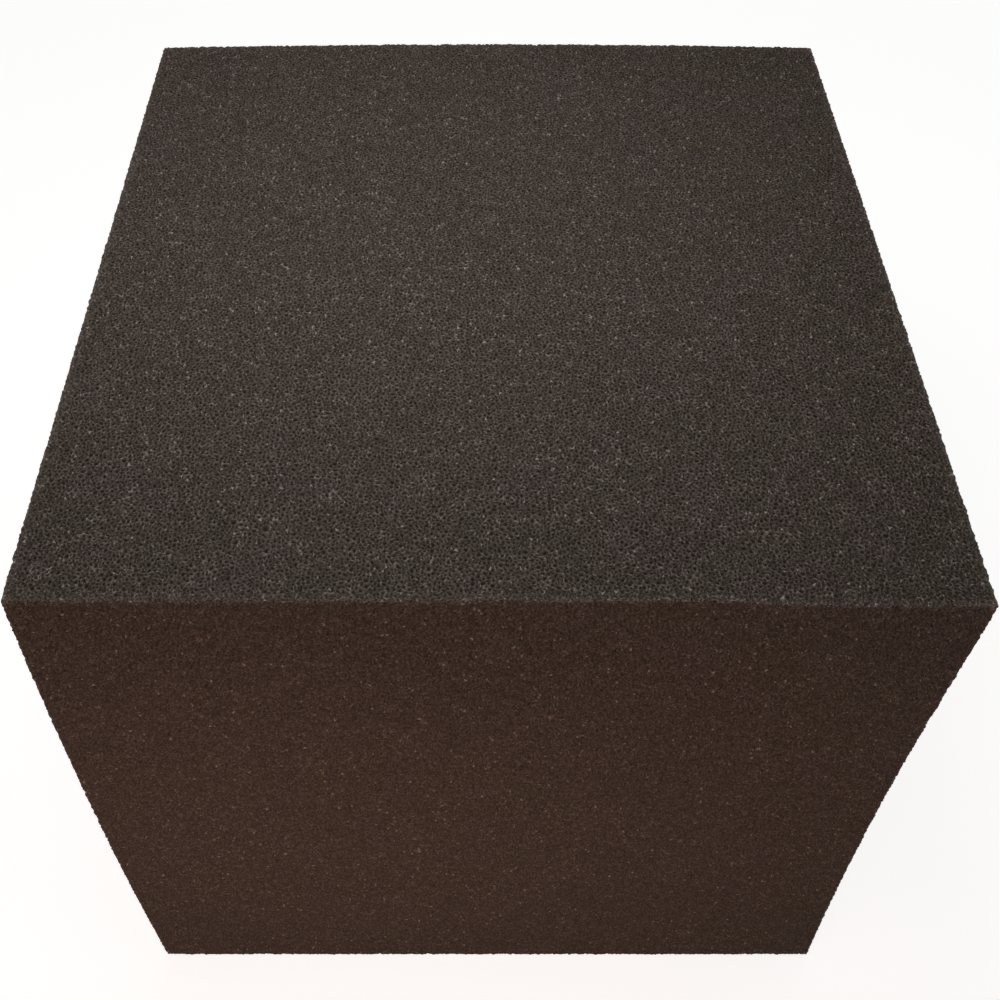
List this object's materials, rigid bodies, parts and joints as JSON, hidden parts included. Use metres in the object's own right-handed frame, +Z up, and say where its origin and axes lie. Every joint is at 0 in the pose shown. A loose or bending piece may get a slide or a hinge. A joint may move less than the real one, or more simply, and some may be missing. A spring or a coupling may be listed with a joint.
{
  "type": "corner bass trap",
  "caption": "Plain square block of charcoal open-cell foam that fills the corner where two walls and a ceiling meet and damps low frequencies.",
  "frame": {"origin": "middle of the base, halfway between the outermost points of the side walls and of the front and back walls", "axes": "+Z up out of the top face, -Y out of the front face that the picture shows, +X to the right as seen from the front"},
  "size_m": [0.3074, 0.3077, 0.3048],
  "materials": {
    "charcoal_foam": "open-cell polyurethane foam, wire cut, matte, with dark pores and small glints on the cell struts"
  },
  "bodies": {
    "root": {"foam_block": "charcoal_foam"}
  },
  "joints": []
}
